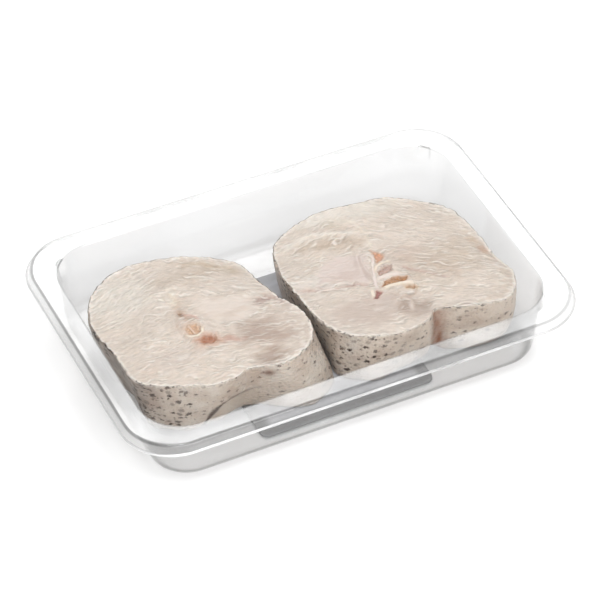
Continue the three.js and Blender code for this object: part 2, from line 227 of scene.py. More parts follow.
def loft(rings, hubs=None):
    """Vertices and faces of rings run outwards over the top, down the side and inwards below.

    Two hubs close the first ring and the last one. Without them the last ring joins the first."""
    rings = np.asarray(rings)
    rows, count = rings.shape[:2]
    vertices = rings.reshape(-1, 3)
    step = np.arange(count)
    after = (step + 1) % count
    upper = np.arange(rows)[:, None] * count
    lower = np.roll(upper, -1, axis=0)
    if hubs:
        upper, lower = upper[:-1], lower[:-1]
    quads = np.stack([upper + step, lower + step, lower + after, upper + after], axis=-1)
    faces = quads.reshape(-1, 4).tolist()
    if hubs:
        top, last = len(vertices), len(vertices) - count
        faces += [(top, a, b) for a, b in zip(step.tolist(), after.tolist())]
        faces += [(top + 1, last + b, last + a) for a, b in zip(step.tolist(), after.tolist())]
        vertices = np.vstack([vertices, *hubs])
    return vertices, faces


def new_object(name, data):
    made = bpy.data.objects.new(name, data)
    bpy.context.scene.collection.objects.link(made)
    return made


def new_piece(name, vertices, faces, material, replaced):
    mesh = bpy.data.meshes.new(name)
    mesh.from_pydata((np.asarray(vertices) * MM).tolist(), [], faces)
    mesh.validate()
    mesh.shade_smooth()
    mesh.materials.append(material)
    piece = new_object(name, mesh)
    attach(piece, "root")
    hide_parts(replaced)
    return piece


def sharpen_ring(piece, count, ring):
    """Keeps the shading apart on both sides of one ring of a loft."""
    ends = np.empty(len(piece.data.edges) * 2, np.int32)
    piece.data.edges.foreach_get("vertices", ends)
    sharp = (ends.reshape(-1, 2) // count == ring).all(axis=1)
    piece.data.attributes.new("sharp_edge", "BOOLEAN", "EDGE").data.foreach_set("value", sharp)


def paint(piece, **values):
    """Gives each vertex the named values that its material reads."""
    for name, value in values.items():
        value = np.asarray(value, np.float32)
        kind, field = ("FLOAT", "value") if value.ndim == 1 else ("FLOAT_VECTOR", "vector")
        attribute = piece.data.attributes.new(name, kind, "POINT")
        attribute.data.foreach_set(field, np.ascontiguousarray(value).ravel())


# Steak shape


def closed_curve(points, count):
    """Evenly spaced points on a closed centripetal Catmull-Rom curve."""
    points = np.array(points, float)
    fine = []
    share = np.linspace(0, 1, 60, endpoint=False)[:, None]
    for i in range(len(points)):
        p0, p1, p2, p3 = (points[(i + k) % len(points)] for k in (-1, 0, 1, 2))
        d0, d1, d2 = (math.sqrt(np.linalg.norm(b - a)) for a, b in ((p0, p1), (p1, p2), (p2, p3)))
        t1 = ((p1 - p0) / d0 - (p2 - p0) / (d0 + d1) + (p2 - p1) / d1) * d1
        t2 = ((p2 - p1) / d1 - (p3 - p1) / (d1 + d2) + (p3 - p2) / d2) * d1
        fine.append(
            p1 + t1 * share + (3 * (p2 - p1) - 2 * t1 - t2) * share ** 2
            + (2 * (p1 - p2) + t1 + t2) * share ** 3
        )
    fine = np.vstack(fine + [points[:1]])
    walked = np.concatenate([[0], np.cumsum(np.linalg.norm(np.diff(fine, axis=0), axis=1))])
    stops = np.linspace(0, walked[-1], count, endpoint=False)
    return np.column_stack([np.interp(stops, walked, fine[:, k]) for k in (0, 1)])


def bed_height(x, y):
    """Height of the steaks' underside: on the pad, and down on the floor beside it."""
    beyond = np.hypot(
        np.maximum(np.maximum(PAD_LOW[0] - x, x - PAD_HIGH[0]), 0),
        np.maximum(np.maximum(PAD_LOW[1] - y, y - PAD_HIGH[1]), 0),
    )
    return mix(PAD_HIGH[2] + GAP, SHEET + GAP, smoothstep(beyond, SAG_START, SAG_END))


def room_x(z):
    """Half the room between the tray's short walls at a height."""
    rise = np.maximum(z - FLOOR_FILLET, 0) / (TRAY_TOP - FLOOR_FILLET)
    below = np.clip(FLOOR_FILLET + SHEET - z, 0, FLOOR_FILLET)
    fillet = FLOOR_FILLET - np.sqrt(FLOOR_FILLET ** 2 - below ** 2)
    return mix(FLANGE_X - FLOOR_INSET_X, FLANGE_X - FLANGE_WIDTH, rise) - fillet - SHEET - 2 * GAP


def towards(bearing):
    """A unit vector for each bearing in degrees."""
    return np.column_stack([np.cos(np.radians(bearing)), np.sin(np.radians(bearing))])


def bearing_gap(a, b):
    return np.abs((a - b + 540) % 360 - 180)


def bone_reach(bone, bearing, grow=0):
    angle = np.radians(bearing - bone["turn"])
    along, across = bone["along"] + grow, bone["across"] + grow
    return along * across / np.hypot(across * np.cos(angle), along * np.sin(angle))


class Spokes:
    """The directions from a steak's backbone to its skin."""

    def __init__(self, steak, count, first_bearing):
        edge = closed_curve(steak["outline"], count)[::-1]
        centre = np.array([steak["bone"]["x"], steak["bone"]["y"]])
        out = edge - centre
        bearing = np.degrees(np.arctan2(out[:, 1], out[:, 0])) % 360
        turn = -int(np.argmin(bearing_gap(bearing, first_bearing)))
        self.steak = steak
        self.centre = centre
        self.bearing = np.roll(bearing, turn)
        self.reach = np.roll(np.linalg.norm(out, axis=1), turn)
        self.perimeter = np.linalg.norm(edge - np.roll(edge, 1, axis=0), axis=1).sum()
        self.facing = towards(self.bearing)
        self.tunnel = bone_reach(steak["bone"], self.bearing, GAP)

    def at(self, radius):
        """x and y at a distance from the backbone along every spoke."""
        return self.centre[0] + radius * self.facing[:, 0], self.centre[1] + radius * self.facing[:, 1]

    def polar(self, x, y):
        """Bearing and share of the way from the backbone's edge, 0, to the skin, 1."""
        dx, dy = x - self.centre[0], y - self.centre[1]
        bearing = np.degrees(np.arctan2(dy, dx)) % 360
        order = np.argsort(self.bearing)
        reach = np.interp(bearing, self.bearing[order], self.reach[order], period=360)
        tunnel = bone_reach(self.steak["bone"], bearing, GAP)
        return bearing, (np.hypot(dx, dy) - tunnel) / (reach - tunnel)


def side_inset(steak, bearing, share):
    """How far the skin stands in from its outline at a height share."""
    to_x, to_y = towards(bearing).T

    def blend(left, right, front, back):
        return np.where(to_x < 0, left, right) * to_x ** 2 + np.where(to_y < 0, front, back) * to_y ** 2

    inset = blend(*steak["taper"]) * (1 - share) - blend(*steak["bulge"]) * np.sin(np.pi * share)
    inset = inset + FOOT_ROUNDING * (1 - share) ** 4
    for toward, spread, reach in steak["spreads"]:
        aside = fall(bearing_gap(bearing, toward), spread * 0.3, spread)
        inset = inset - reach * aside * (1 - share)
    return inset


def crease_below(x, y, z):
    """Millimetres below the crease, and how much of the crease there is."""
    below = np.interp(x, *zip(*CREASE["line"])) - z
    fade = fall(x, CREASE["fade_x"] - CREASE["fade"], CREASE["fade_x"])
    return below, fade * (x > CREASE["line"][0][0]) * (y < 0)


def crease_inset(x, y, z):
    """The belly flap's overlap: the skin below the crease stands back, with a groove along it."""
    below, fade = crease_below(x, y, z)
    distance, place = line_distance(x, z, CREASE["line"])
    groove = 0.8 * np.exp(-(distance / mix(0.8, 0.4, place)) ** 2) * (y < 0)
    return CREASE["step"] * smoothstep(below, 0, CREASE["softness"]) * fade + groove * (1 - place) ** 0.5


def slit_aside(x, z):
    """Distance from the middle of the slit in half widths."""
    return (x - SLIT["x"] + SLIT["lean"] * (z - SLIT["middle_z"])) / SLIT["half_width"]


def slit_inset(x, y, z):
    return np.where(y < SLIT["face_y"], SLIT["depth"] * np.exp(-slit_aside(x, z) ** 2), 0)


# The cut face: its height and colour


FLESH = pigment(207, 193, 180)
# The pale of the strands: partly their own colour, partly a painted highlight.
THREAD_AND_HIGHLIGHT = pigment(236, 229, 220)
CREAM = (224, 210, 192)
# The pale of the rim: partly its own colour, partly a painted wet highlight.
PALE_RIM_AND_HIGHLIGHT = pigment(234, 227, 218)

# The rows of a look, with sizes in millimetres and directions in degrees round the backbone:
# tints: middle, radii, turn, shade, amount, and how smooth the flesh is there
# bands: line, width, shade, amount, rise
# lobes: corners, shade, amount, rise, softness of the edge
# cavities: corners, depth, width of the wall, shade, shade of the rim
# ridges: line, width, rise, shade
# wet_edges: direction, spread, and where they start on the way to the skin
# skins: direction, spread, darkness (dark skin, partly painted shade on sides in shade), amount of flecks
LEFT_LOOK = {
    "seed": 3,
    "skin": pigment(196, 182, 169),
    "fan": 52,
    "axis_slopes": (-0.02, -0.3),
    "tints": [
        ((-84, 30), (24, 18), 20, (214, 206, 195), 0.8, 0),
        ((-41.6, 27.5), (12, 6), -8, (190, 172, 154), 0.4, 0),
        ((-29, -21), (19, 12), -22, (166, 144, 129), 0.88, 0.35),
        ((-32.5, -36), (9.5, 6), 0, (152, 129, 113), 0.9, 0.75),
        ((-17, -17), (8, 12), 0, (192, 175, 162), 0.5, 0),
        ((-88, -22), (7, 5), 30, (208, 184, 164), 0.4, 0),
        ((-76, -20), (20, 9), 0, (204, 189, 178), 0.5, 0),
        ((-59, -3), (6, 9), 15, (204, 180, 162), 0.7, 0),
        ((-56, -15), (10, 5.5), 8, (200, 172, 154), 0.75, 0),
        ((-46, -17.5), (5, 3), -10, (180, 143, 126), 0.8, 0),
    ],
    "bands": [
        ([(-64.8, 29.2), (-55.9, 31.5), (-45.6, 31.1), (-35.3, 30.7), (-25.1, 28)],
         3.4, (184, 167, 150), 0.55, -0.25),
        ([(-48, 40), (-36, 35.5), (-26, 27.5), (-21, 21)], 2.4, (186, 168, 148), 0.75, -0.2),
        ([(-24.5, -1), (-17.4, 1.2), (-12.6, -1.6), (-9.8, -7)], 2.2, (172, 148, 137), 0.8, -0.35),
        ([(-57.6, 18.5), (-59.4, 11), (-58.6, 6), (-56, 1)], 1.8, (186, 158, 138), 0.7, -0.4),
        ([(-58.6, 8), (-55, 4.6), (-52.6, 0)], 0.9, (206, 168, 152), 0.7, 0.15),
        ([(-47, -17.3), (-42, -20), (-37, -21)], 1.2, (184, 148, 132), 0.6, -0.2),
        ([(-59, 9.4), (-59.4, 6.8)], 1, (140, 108, 84), 0.8, -0.4),
        ([(-57.4, 24), (-59, 14)], 2.2, (214, 202, 186), 0.7, 0.25),
    ],
    "lobes": [
        ([(-55, 6.5), (-50, 13), (-30, 7.5), (-22, 4.5), (-26, -6), (-37, -9.5), (-50, -3)],
         (208, 194, 182), 0.9, 0.3, 3),
        ([(-39, -31.5), (-30.6, -30), (-26, -37.5), (-35, -40)], (180, 161, 147), 0.3, -0.2, 2),
    ],
    "cavities": [
        ([(-60.8, -12.1), (-57.9, -16.5), (-53.4, -18.2), (-48.8, -17.1), (-50.5, -11.7), (-54.9, -8.9)],
         0.6, 2.6, (167, 112, 82), (204, 170, 150)),
        ([(-62, -7.4), (-59, -9), (-55.6, -8), (-54, -4.6), (-55.4, -1.4), (-59.4, -0.6), (-62.2, -3.2)],
         0.6, 1.8, (199, 163, 134), (202, 176, 156)),
    ],
    "ridges": [
        ([(-62.9, -7), (-61, -9.1), (-58.1, -9.5), (-55, -8.2), (-53.4, -5.2)], 0.6, 0.5, CREAM),
        ([(-59.4, -1.4), (-58.8, -5), (-58.6, -8)], 0.45, 0.2, (206, 178, 156)),
    ],
    "wet_edges": [(-20, 42, 0.72), (60, 30, 0.86), (130, 50, 0.88)],
    "skins": [
        (180, 48, 0.75, 1), (100, 60, 0.25, 0.9), (222, 30, 0.12, 1.1), (-80, 50, 0, 0.36),
        (0, 45, 0.25, 0.8),
    ],
}
RIGHT_LOOK = {
    "seed": 41,
    "skin": pigment(206, 192, 178),
    "fan": 50,
    "axis_slopes": (-0.12, -0.4),
    "tints": [
        ((45, 38), (36, 8), -6, (214, 206, 195), 0.8, 0.25),
        ((34, 33), (9, 5), 0, (192, 175, 156), 0.5, 0),
        ((31, 19), (15, 7), -12, (187, 167, 148), 0.75, 0),
        ((8, -2), (14, 8), 0, (213, 204, 195), 0.6, 0),
        ((72, -12), (22, 16), 0, (190, 173, 156), 0.85, 0),
        ((24, -28), (24, 13), 0, (174, 155, 143), 0.75, 0.6),
        ((43, -35), (10, 9), 0, (158, 138, 124), 0.85, 0.6),
        ((90, -6), (3, 4), 20, (182, 154, 124), 0.5, 0),
        ((92.5, -13), (3, 4), 20, (188, 150, 126), 0.5, 0),
        ((56, 0), (14, 7), -20, (194, 172, 157), 0.55, 0),
    ],
    "bands": [
        ([(2, 25), (10.3, 28.5), (19.7, 30.8), (30.9, 27.5), (43.6, 23.4)],
         1.6, (224, 214, 202), 0.8, 0.35),
        ([(8, 22), (18, 24.5), (31, 21.5), (41, 16)], 3, (188, 170, 152), 0.6, -0.25),
        ([(40, 36), (44.1, 29.5), (46, 20), (43.3, 10)], 1.3, (216, 204, 188), 0.6, 0.2),
        ([(-2.3, -2.5), (7.2, -5.8), (15.8, -8), (26, -9.6), (33.5, -14.5)],
         1.2, (186, 158, 146), 0.7, -0.35),
        ([(49, -6.5), (56, -12.5), (62.3, -19.4), (68.5, -25)], 1.1, (186, 156, 142), 0.6, -0.25),
        ([(52, -2), (62, -9), (70, -17), (74, -27)], 2.4, (188, 166, 148), 0.4, -0.2),
        ([(36, -30), (41, -26.5), (45, -30), (42, -38)], 1.2, (206, 190, 177), 0.6, 0.3),
    ],
    "lobes": [
        ([(14, 8.5), (25.1, 12.5), (39.5, 7.5), (36, -8), (31, -11.5), (20, -5.5), (8, -3)],
         (198, 181, 173), 0.85, 0.35, 3),
    ],
    "cavities": [
        ([(42.2, 9.2), (46.6, 3.4), (45.2, 0.6), (41, -1)], 0.35, 1.2, (198, 146, 116), (202, 170, 148)),
        ([(38.3, -6.5), (43.3, -3.9), (47.3, -4.6), (45.7, -8.6), (38.5, -9.5)],
         0.7, 1.2, (178, 150, 138), (198, 178, 166)),
        ([(36.5, -16.4), (38.7, -13.8), (43.9, -12.6), (50.5, -15.2), (49, -18.1), (43.6, -17.4)],
         0.8, 1, (172, 128, 90), (198, 164, 138)),
        ([(46, -20.4), (49, -20.6), (52, -23.5), (49.4, -24.7), (46, -22.6)],
         0.5, 1.2, (172, 138, 108), (206, 182, 156)),
        ([(32.4, -17.6), (34.2, -20.6), (30, -24), (28.4, -23)], 0.8, 1, (146, 92, 82), (196, 164, 152)),
    ],
    "ridges": [
        ([(40.2, 7), (40.8, 2.6), (38.4, -1.5), (36.1, -7.4), (33.9, -13.8), (33.2, -17.2)],
         0.8, 0.25, (217, 203, 195)),
        ([(37.6, -6), (39.2, -3.4), (42.4, -1.9), (47.6, -1.9)], 0.7, 0.35, CREAM),
        ([(36.4, -11.2), (42.3, -10.8), (47.9, -12.2)], 1, 0.35, (219, 204, 194)),
        ([(35.6, -18.6), (39.7, -18), (44.9, -18.6), (51, -20.4)], 1.1, 0.5, CREAM),
        ([(30.4, -16.8), (29, -21.4)], 0.8, 0.25, CREAM),
    ],
    "wet_edges": [(-30, 32, 0.76), (20, 26, 0.8), (80, 70, 0.88)],
    "skins": [
        (190, 45, 0.2, 1), (100, 60, 0.25, 0.85), (236, 30, 0.08, 1), (-75, 25, 0, 0.75),
        (-30, 30, 0, 0.6), (20, 40, 0.35, 0.85),
    ],
}


def fibre_grid(spokes, look, x, y):
    """Millimetres along the muscle fibres and across them. They draw together to the steak's ends."""
    dx, dy = x - spokes.centre[0], y - spokes.centre[1]
    seed = look["seed"]
    left, right = look["axis_slopes"]
    axis = dx * mix(left, right, smoothstep(dx, -9, 9))
    across = (dy - axis) * np.sqrt(1 + (dx / look["fan"]) ** 2)
    across = across + 1.6 * noise(x / 14, y / 10, seed) + 0.9 * noise(x / 6, y / 4.5, seed + 1)
    return dx, across


# Spacing of the wide strands and of the slim ones between them, and what the slim ones count.
WIDE_STRANDS = 4.1
SLIM_STRANDS = 2.7
SLIM_SHARE = 0.8
# Relief of strands and furrows in millimetres, then the strands' pale (partly painted highlight) and the
# furrows' painted shade as shares.
STRAND_RISE = 0.34
FURROW_DROP = 0.14
STRAND_PALE_AND_HIGHLIGHT = 0.68
FURROW_PAINTED_SHADE = 0.24


def strand_lines(along, across, spacing, seed):
    """Short crests along the fibres, and a furrow before each, both from 0 to 1."""
    bend = 0.55 * noise(along / 6, across / 5, seed) + 0.22 * noise(along / 2.4, across / 2.5, seed + 1)
    turn = 2 * math.pi * (across / spacing + bend)
    there = smoothstep(noise(along / 3.5, across / 2.6, seed + 2), -0.12, 0.42)
    return there * (0.5 + 0.5 * np.cos(turn)) ** 4, there * (0.5 + 0.5 * np.cos(turn + 1.5)) ** 4


def spot_mask(x, y, middle, radii, turn, seed):
    cos, sin = math.cos(math.radians(turn)), math.sin(math.radians(turn))
    dx, dy = x - middle[0], y - middle[1]
    across = np.hypot((dx * cos + dy * sin) / radii[0], (dy * cos - dx * sin) / radii[1])
    return fall(across + 0.22 * rough_noise(x / 7, y / 3.5, seed, 2), 0.35, 1.25)


def cut_face(spokes, look, x, y):
    """Height above the cut plane, linear colour and smoothness of the cut face at each point."""
    steak, seed = spokes.steak, look["seed"]
    bearing, share = spokes.polar(x, y)
    along, across = fibre_grid(spokes, look, x, y)

    height = np.zeros(np.shape(x))
    for at_x, at_y, radius_x, radius_y, rise in steak["swells"]:
        height += rise * np.exp(-(((x - at_x) / radius_x) ** 2 + ((y - at_y) / radius_y) ** 2))
    for toward, depth, reach in steak["furrows"]:
        aside = bearing_gap(bearing, toward) * np.radians(1) * np.maximum(share, 0.05) * 40
        fade = fall(share, reach * 0.6, reach) * smoothstep(share, 0, 0.1)
        height -= depth * np.exp(-(aside / 2.2) ** 2) * fade
    for toward, spread, drop in steak["roll_edges"]:
        aside = fall(bearing_gap(bearing, toward), spread * 0.5, spread)
        height -= drop * aside * smoothstep(share, 0.75, 1.05) ** 1.5

    # Smooth lobes and bone carry no fibres.
    smooth = np.zeros(np.shape(x))
    colour = np.ones(np.shape(x))[..., None] * FLESH
    for index, (middle, radii, turn, shade, amount, calm) in enumerate(look["tints"]):
        mask = spot_mask(x, y, middle, radii, turn, seed + 60 + index)
        colour = dye(colour, pigment(*shade), mask * amount)
        smooth = np.maximum(smooth, mask * calm)
    for index, (corners, shade, amount, rise, soft) in enumerate(look["lobes"]):
        inside = depth_inside(x, y, corners) + 0.8 * rough_noise(x / 8, y / 2.5, seed + 80 + index, 2)
        mask = smoothstep(inside, -soft * 0.5, soft)
        colour = dye(colour, pigment(*shade), mask * amount)
        height += rise * mask
        smooth = np.maximum(smooth, 0.75 * mask)
    for index, (line, width, shade, amount, rise) in enumerate(look["bands"]):
        distance, place = line_distance(x, y, line)
        width = width * (1 + 0.35 * noise(x / 4, y / 3, seed + 90 + index))
        fade = smoothstep(place, -0.02, 0.15) * fall(place, 0.85, 1.02)
        mask = np.exp(-(distance / np.maximum(width, 0.2)) ** 2) * mix(0.3, 1, fade)
        colour = dye(colour, pigment(*shade), np.minimum(1.2 * mask * amount, 1))
        height += rise * mask

    # Short pale strands, partly a painted highlight, with painted shade in a furrow before each, over fine
    # fibres and faint flakes.
    fine = noise(along / 4, across / 0.8, seed + 3)
    wide = strand_lines(along, across, WIDE_STRANDS, seed + 140)
    slim = strand_lines(along, across + 0.9, SLIM_STRANDS, seed + 150)
    flakes = noise(along / 15, across / 3.2, seed + 4)
    lumps = rough_noise(along / 3.6, across / 2, seed + 15, 2)
    patchy = 0.25 + 0.75 * smoothstep(noise(x / 8, y / 5, seed + 6), -0.6, 0.4)
    grain = (1 - smooth) * patchy
    strands, furrows = (np.maximum(w, SLIM_SHARE * s) for w, s in zip(wide, slim))
    height += grain * (STRAND_RISE * strands - FURROW_DROP * furrows + 0.05 * fine)
    height += (1 - smooth) * (0.1 * flakes + 0.16 * lumps)
    # Colour that follows the relief of fibres, flakes and lumps: painted shading.
    painted_shading = grain * (0.04 * fine - FURROW_PAINTED_SHADE * furrows)
    painted_shading += (1 - smooth) * (0.03 * flakes + 0.04 * lumps)
    colour = colour * (1 + painted_shading)[..., None]
    colour = dye(colour, THREAD_AND_HIGHLIGHT, STRAND_PALE_AND_HIGHLIGHT * grain * strands)
    colour = colour * (1 + 0.035 * rough_noise(x / 9, y / 7, seed + 7, 3))[..., None]

    # Bumpy, wet flesh near parts of the edge, with painted highlights on the bumps' tops.
    for index, (toward, spread, start) in enumerate(look["wet_edges"]):
        mask = fall(bearing_gap(bearing, toward), spread * 0.6, spread)
        mask = mask * smoothstep(share, start, start + 0.12)
        bumps = rough_noise(along / 2.6, across / 1.5, seed + 30 + index, 2)
        height += 0.24 * mask * bumps
        colour = dye(colour, PALE_RIM_AND_HIGHLIGHT, 0.45 * mask * smoothstep(bumps, 0.1, 0.8))

    # Pale border under the skin, partly its own colour and partly a painted wet highlight.
    border = smoothstep(share + 0.012 * noise(along / 2, across / 2, seed + 8), 0.945, 0.985)
    colour = dye(colour, PALE_RIM_AND_HIGHLIGHT, 0.75 * border)
    specks = smoothstep(rough_noise(bearing * 0.8, share * 30, seed + 16, 2), 0.6, 0.8)
    colour = dye(colour, SPECK, 0.8 * specks * smoothstep(share, 0.965, 0.985))
    height += 0.3 * border * (0.6 + 0.6 * noise(x / 2.2, y / 2.2, seed + 9))

    # Backbone: sunk spongy pockets between raised pale struts.
    for index, (corners, depth, soft, shade, rim) in enumerate(look["cavities"]):
        ragged = 0.45 * rough_noise(x / 1.4, y / 1.1, seed + 110 + index, 2)
        inside = depth_inside(x, y, corners) + ragged
        wall = smoothstep(inside, -0.3, soft)
        floor = 0.16 * rough_noise(x / 0.9, y / 0.8, seed + 120 + index, 2)
        height -= wall * (depth - floor)
        colour = dye(colour, pigment(*rim), smoothstep(inside, -soft, 0.1) * 0.7)
        colour = dye(colour, pigment(*shade) * (1 + floor[..., None]), smoothstep(inside, -0.2, soft))
        smooth = np.maximum(smooth, 0.5 * wall)
    for index, (line, width, rise, shade) in enumerate(look["ridges"]):
        distance, place = line_distance(x, y, line)
        distance = distance + 0.12 * noise(x / 1.1, y / 1.1, seed + 130 + index)
        ends = smoothstep(place, -0.02, 0.12) * fall(place, 0.88, 1.02)
        mask = fall(distance, width * 0.45, width * 1.5) * mix(0.35, 1, ends)
        top = np.maximum(height + rise * 0.5, rise * mix(0.5, 1, ends))
        height = mix(height, top, mask)
        colour = dye(colour, pigment(*shade), mask)
        smooth = np.maximum(smooth, mask)
    return height, colour, smooth


SKIN_PALE = pigment(208, 198, 187)
SKIN_BROWN = pigment(172, 152, 137)
# Dark skin, also used as painted shade on sides in shade.
SKIN_DARK_AND_SHADE = pigment(98, 89, 84)
SPECK = pigment(48, 32, 23)
SLIT_RED = pigment(144, 98, 74)
FLAP = pigment(192, 178, 164)
# Painted shade in the crease.
CREASE_SHADE = pigment(44, 22, 12)
WOUND = pigment(96, 58, 42)


def skin_look(look, bearing, x, z, down):
    """Colour of the skin and how thickly it is flecked, down is millimetres below the rim."""
    seed = look["seed"]
    around = bearing * 0.8
    colour = np.ones(np.shape(x))[..., None] * look["skin"]
    haze = rough_noise(around / 9, z / 6, seed + 20, 3)
    colour = dye(colour, SKIN_PALE, smoothstep(haze, 0.1, 0.9) * 0.7)
    colour = dye(colour, SKIN_BROWN, smoothstep(-haze, 0.15, 1) * 0.55)
    flecks = np.full(np.shape(x), 0.62)
    # Darker sides are partly dark skin and partly painted shade, as between the steaks and beside the tray
    # wall.
    for toward, spread, darkness, density in look["skins"]:
        aside = fall(bearing_gap(bearing, toward), spread * 0.4, spread)
        aside = aside * (0.75 + 0.25 * noise(around / 5, z / 4, seed + 21))
        colour = dye(colour, SKIN_DARK_AND_SHADE, aside * darkness)
        flecks = mix(flecks, density, aside)
    # Painted highlight: a pale wet line along the top of the skin on the sides that face the front.
    front = smoothstep(-np.sin(np.radians(bearing)), -0.2, 0.3)
    colour = dye(colour, PALE_RIM_AND_HIGHLIGHT, 0.7 * front * fall(down, 0.2, 1.3))
    specks = smoothstep(rough_noise(bearing * 0.7, down / 1.5, seed + 22, 2), 0.15, 0.5)
    edge = specks * fall(down, 0.5, 2) * mix(0.9, 0.35, front)
    colour = dye(colour, SPECK, edge)
    return colour, flecks


AROUND = 640
FACE_ROWS = 94
RIM_ROWS = 6
SIDE_ROWS = 30
UNDER_ROWS = 8
RIM_RADIUS = 1.0
SKIN_FOOT_Z = 4
# The flesh closes on the backbone but for a hairline.
SEAM = 0.01


def steak_rings(spokes, look, skin_inset):
    """Rings of points over the cut face, round its rim, down the skin and in below.

    The second result says how much each ring is skin."""
    steak, seed = spokes.steak, look["seed"]
    around = spokes.perimeter * np.arange(AROUND) / AROUND
    radius = RIM_RADIUS * (1 + 0.35 * noise(around / 6, 0, seed + 10))
    edge_x, edge_y = spokes.at(spokes.reach)
    nicks = 0.4 * smoothstep(rough_noise(around / 2.3, 0, seed + 11, 2), 0, 1.2)
    top_inset = side_inset(steak, spokes.bearing, 1) + skin_inset(edge_x, edge_y, CUT_HEIGHT)
    rim_reach = spokes.reach - np.maximum(top_inset, 0) - nicks

    rings, skins = [], []

    def add(x, y, z, skin):
        rings.append(np.column_stack([x, y, z]))
        skins.append(skin)

    inner = spokes.tunnel - GAP + SEAM
    outer = rim_reach - radius
    for index in range(FACE_ROWS):
        share = index / (FACE_ROWS - 1)
        x, y = spokes.at(mix(inner, outer, share))
        height, _, _ = cut_face(spokes, look, x, y)
        add(x, y, CUT_HEIGHT + height, 0)
    edge_z = rings[-1][:, 2]
    for index in range(1, RIM_ROWS + 1):
        angle = index / RIM_ROWS * math.pi / 2
        x, y = spokes.at(outer + radius * math.sin(angle))
        add(x, y, edge_z - radius * (1 - math.cos(angle)), index / RIM_ROWS)
    side_top = rings[-1][:, 2]
    for index in range(1, SIDE_ROWS + 1):
        share = 1 - index / SIDE_ROWS
        height = mix(SKIN_FOOT_Z, side_top, share)
        x, y = spokes.at(spokes.reach)
        inset = side_inset(steak, spokes.bearing, share) + skin_inset(x, y, height)
        folds = 0.22 * (1 + rough_noise(around / 13, height / 8, seed + 12, 3))
        inset = inset + folds * math.sin(math.pi * share) + nicks * share ** 4
        x, y = spokes.at(spokes.reach - inset)
        z = mix(bed_height(x, y), side_top, share)
        limit = room_x(z)
        add(np.clip(x, -limit, limit), y, z, 1)
    foot_x, foot_y = rings[-1][:, 0], rings[-1][:, 1]
    foot_reach = np.hypot(foot_x - spokes.centre[0], foot_y - spokes.centre[1])
    for index in range(1, UNDER_ROWS + 1):
        share = 1 - index / UNDER_ROWS
        x, y = spokes.at(mix(spokes.tunnel, foot_reach, share))
        z = bed_height(x, y)
        limit = room_x(z)
        add(np.clip(x, -limit, limit), y, z, smoothstep(share, 0.8, 0.95))
    return np.array(rings), skins


def mark_crease(x, y, z, colour, flecks, smooth):
    """The belly flap: pale below the crease, with painted shade along the crease, and a small wound."""
    below, fade = crease_below(x, y, z)
    distance, place = line_distance(x, z, CREASE["line"])
    # The crease's painted shade is widest about a quarter of the way along.
    width = 0.65 + 1.2 * np.exp(-((place - 0.27) / 0.12) ** 2)
    dark = np.exp(-(distance / width) ** 4) * (y < 0) * (1 - place) ** 0.5
    flap = smoothstep(below, 0.2, 2) * fade
    aside = (x - WOUND_SPOT["x"]) / WOUND_SPOT["half_width"]
    above = (z - WOUND_SPOT["z"]) / WOUND_SPOT["half_height"]
    spot = np.exp(-(aside ** 2 + above ** 2)) * (y < 0)
    colour = dye(dye(colour, FLAP, 0.7 * flap), CREASE_SHADE, dark)
    return dye(colour, WOUND, 0.85 * spot), flecks * (1 - 0.9 * flap), np.maximum(smooth, dark)


def mark_slit(x, y, z, down, colour, flecks):
    """The red of the slit."""
    stain = np.exp(-slit_aside(x, z) ** 2 * 1.4) * (y < SLIT["face_y"]) * smoothstep(down, 0.5, 3)
    stain = np.clip(stain * (0.8 + 0.3 * noise(x / 1.5, z / 4, 77)), 0, 1)
    return dye(colour, SLIT_RED, stain), flecks * (1 - 0.8 * stain)


def map_skin(piece, rings, faces, perimeter):
    """Maps a steak in millimetres round its skin and down it, for the scales and flecks."""
    count = rings.shape[1]
    walk = np.linalg.norm(np.diff(rings, axis=0), axis=2)
    walked = np.concatenate([np.zeros((1, count)), np.cumsum(walk, axis=0)])
    walked = walked - walked[FACE_ROWS - 1]
    row_of, spoke_of = np.divmod(np.array(faces), count)
    wraps = (spoke_of == 0) & (spoke_of.max(axis=1, keepdims=True) == count - 1)
    u = (spoke_of + wraps * count) * perimeter / count
    v = walked[row_of, spoke_of]
    layer = piece.data.uv_layers.new(name="skin_map")
    layer.data.foreach_set("uv", np.stack([u, v], axis=-1).astype(np.float32).ravel())


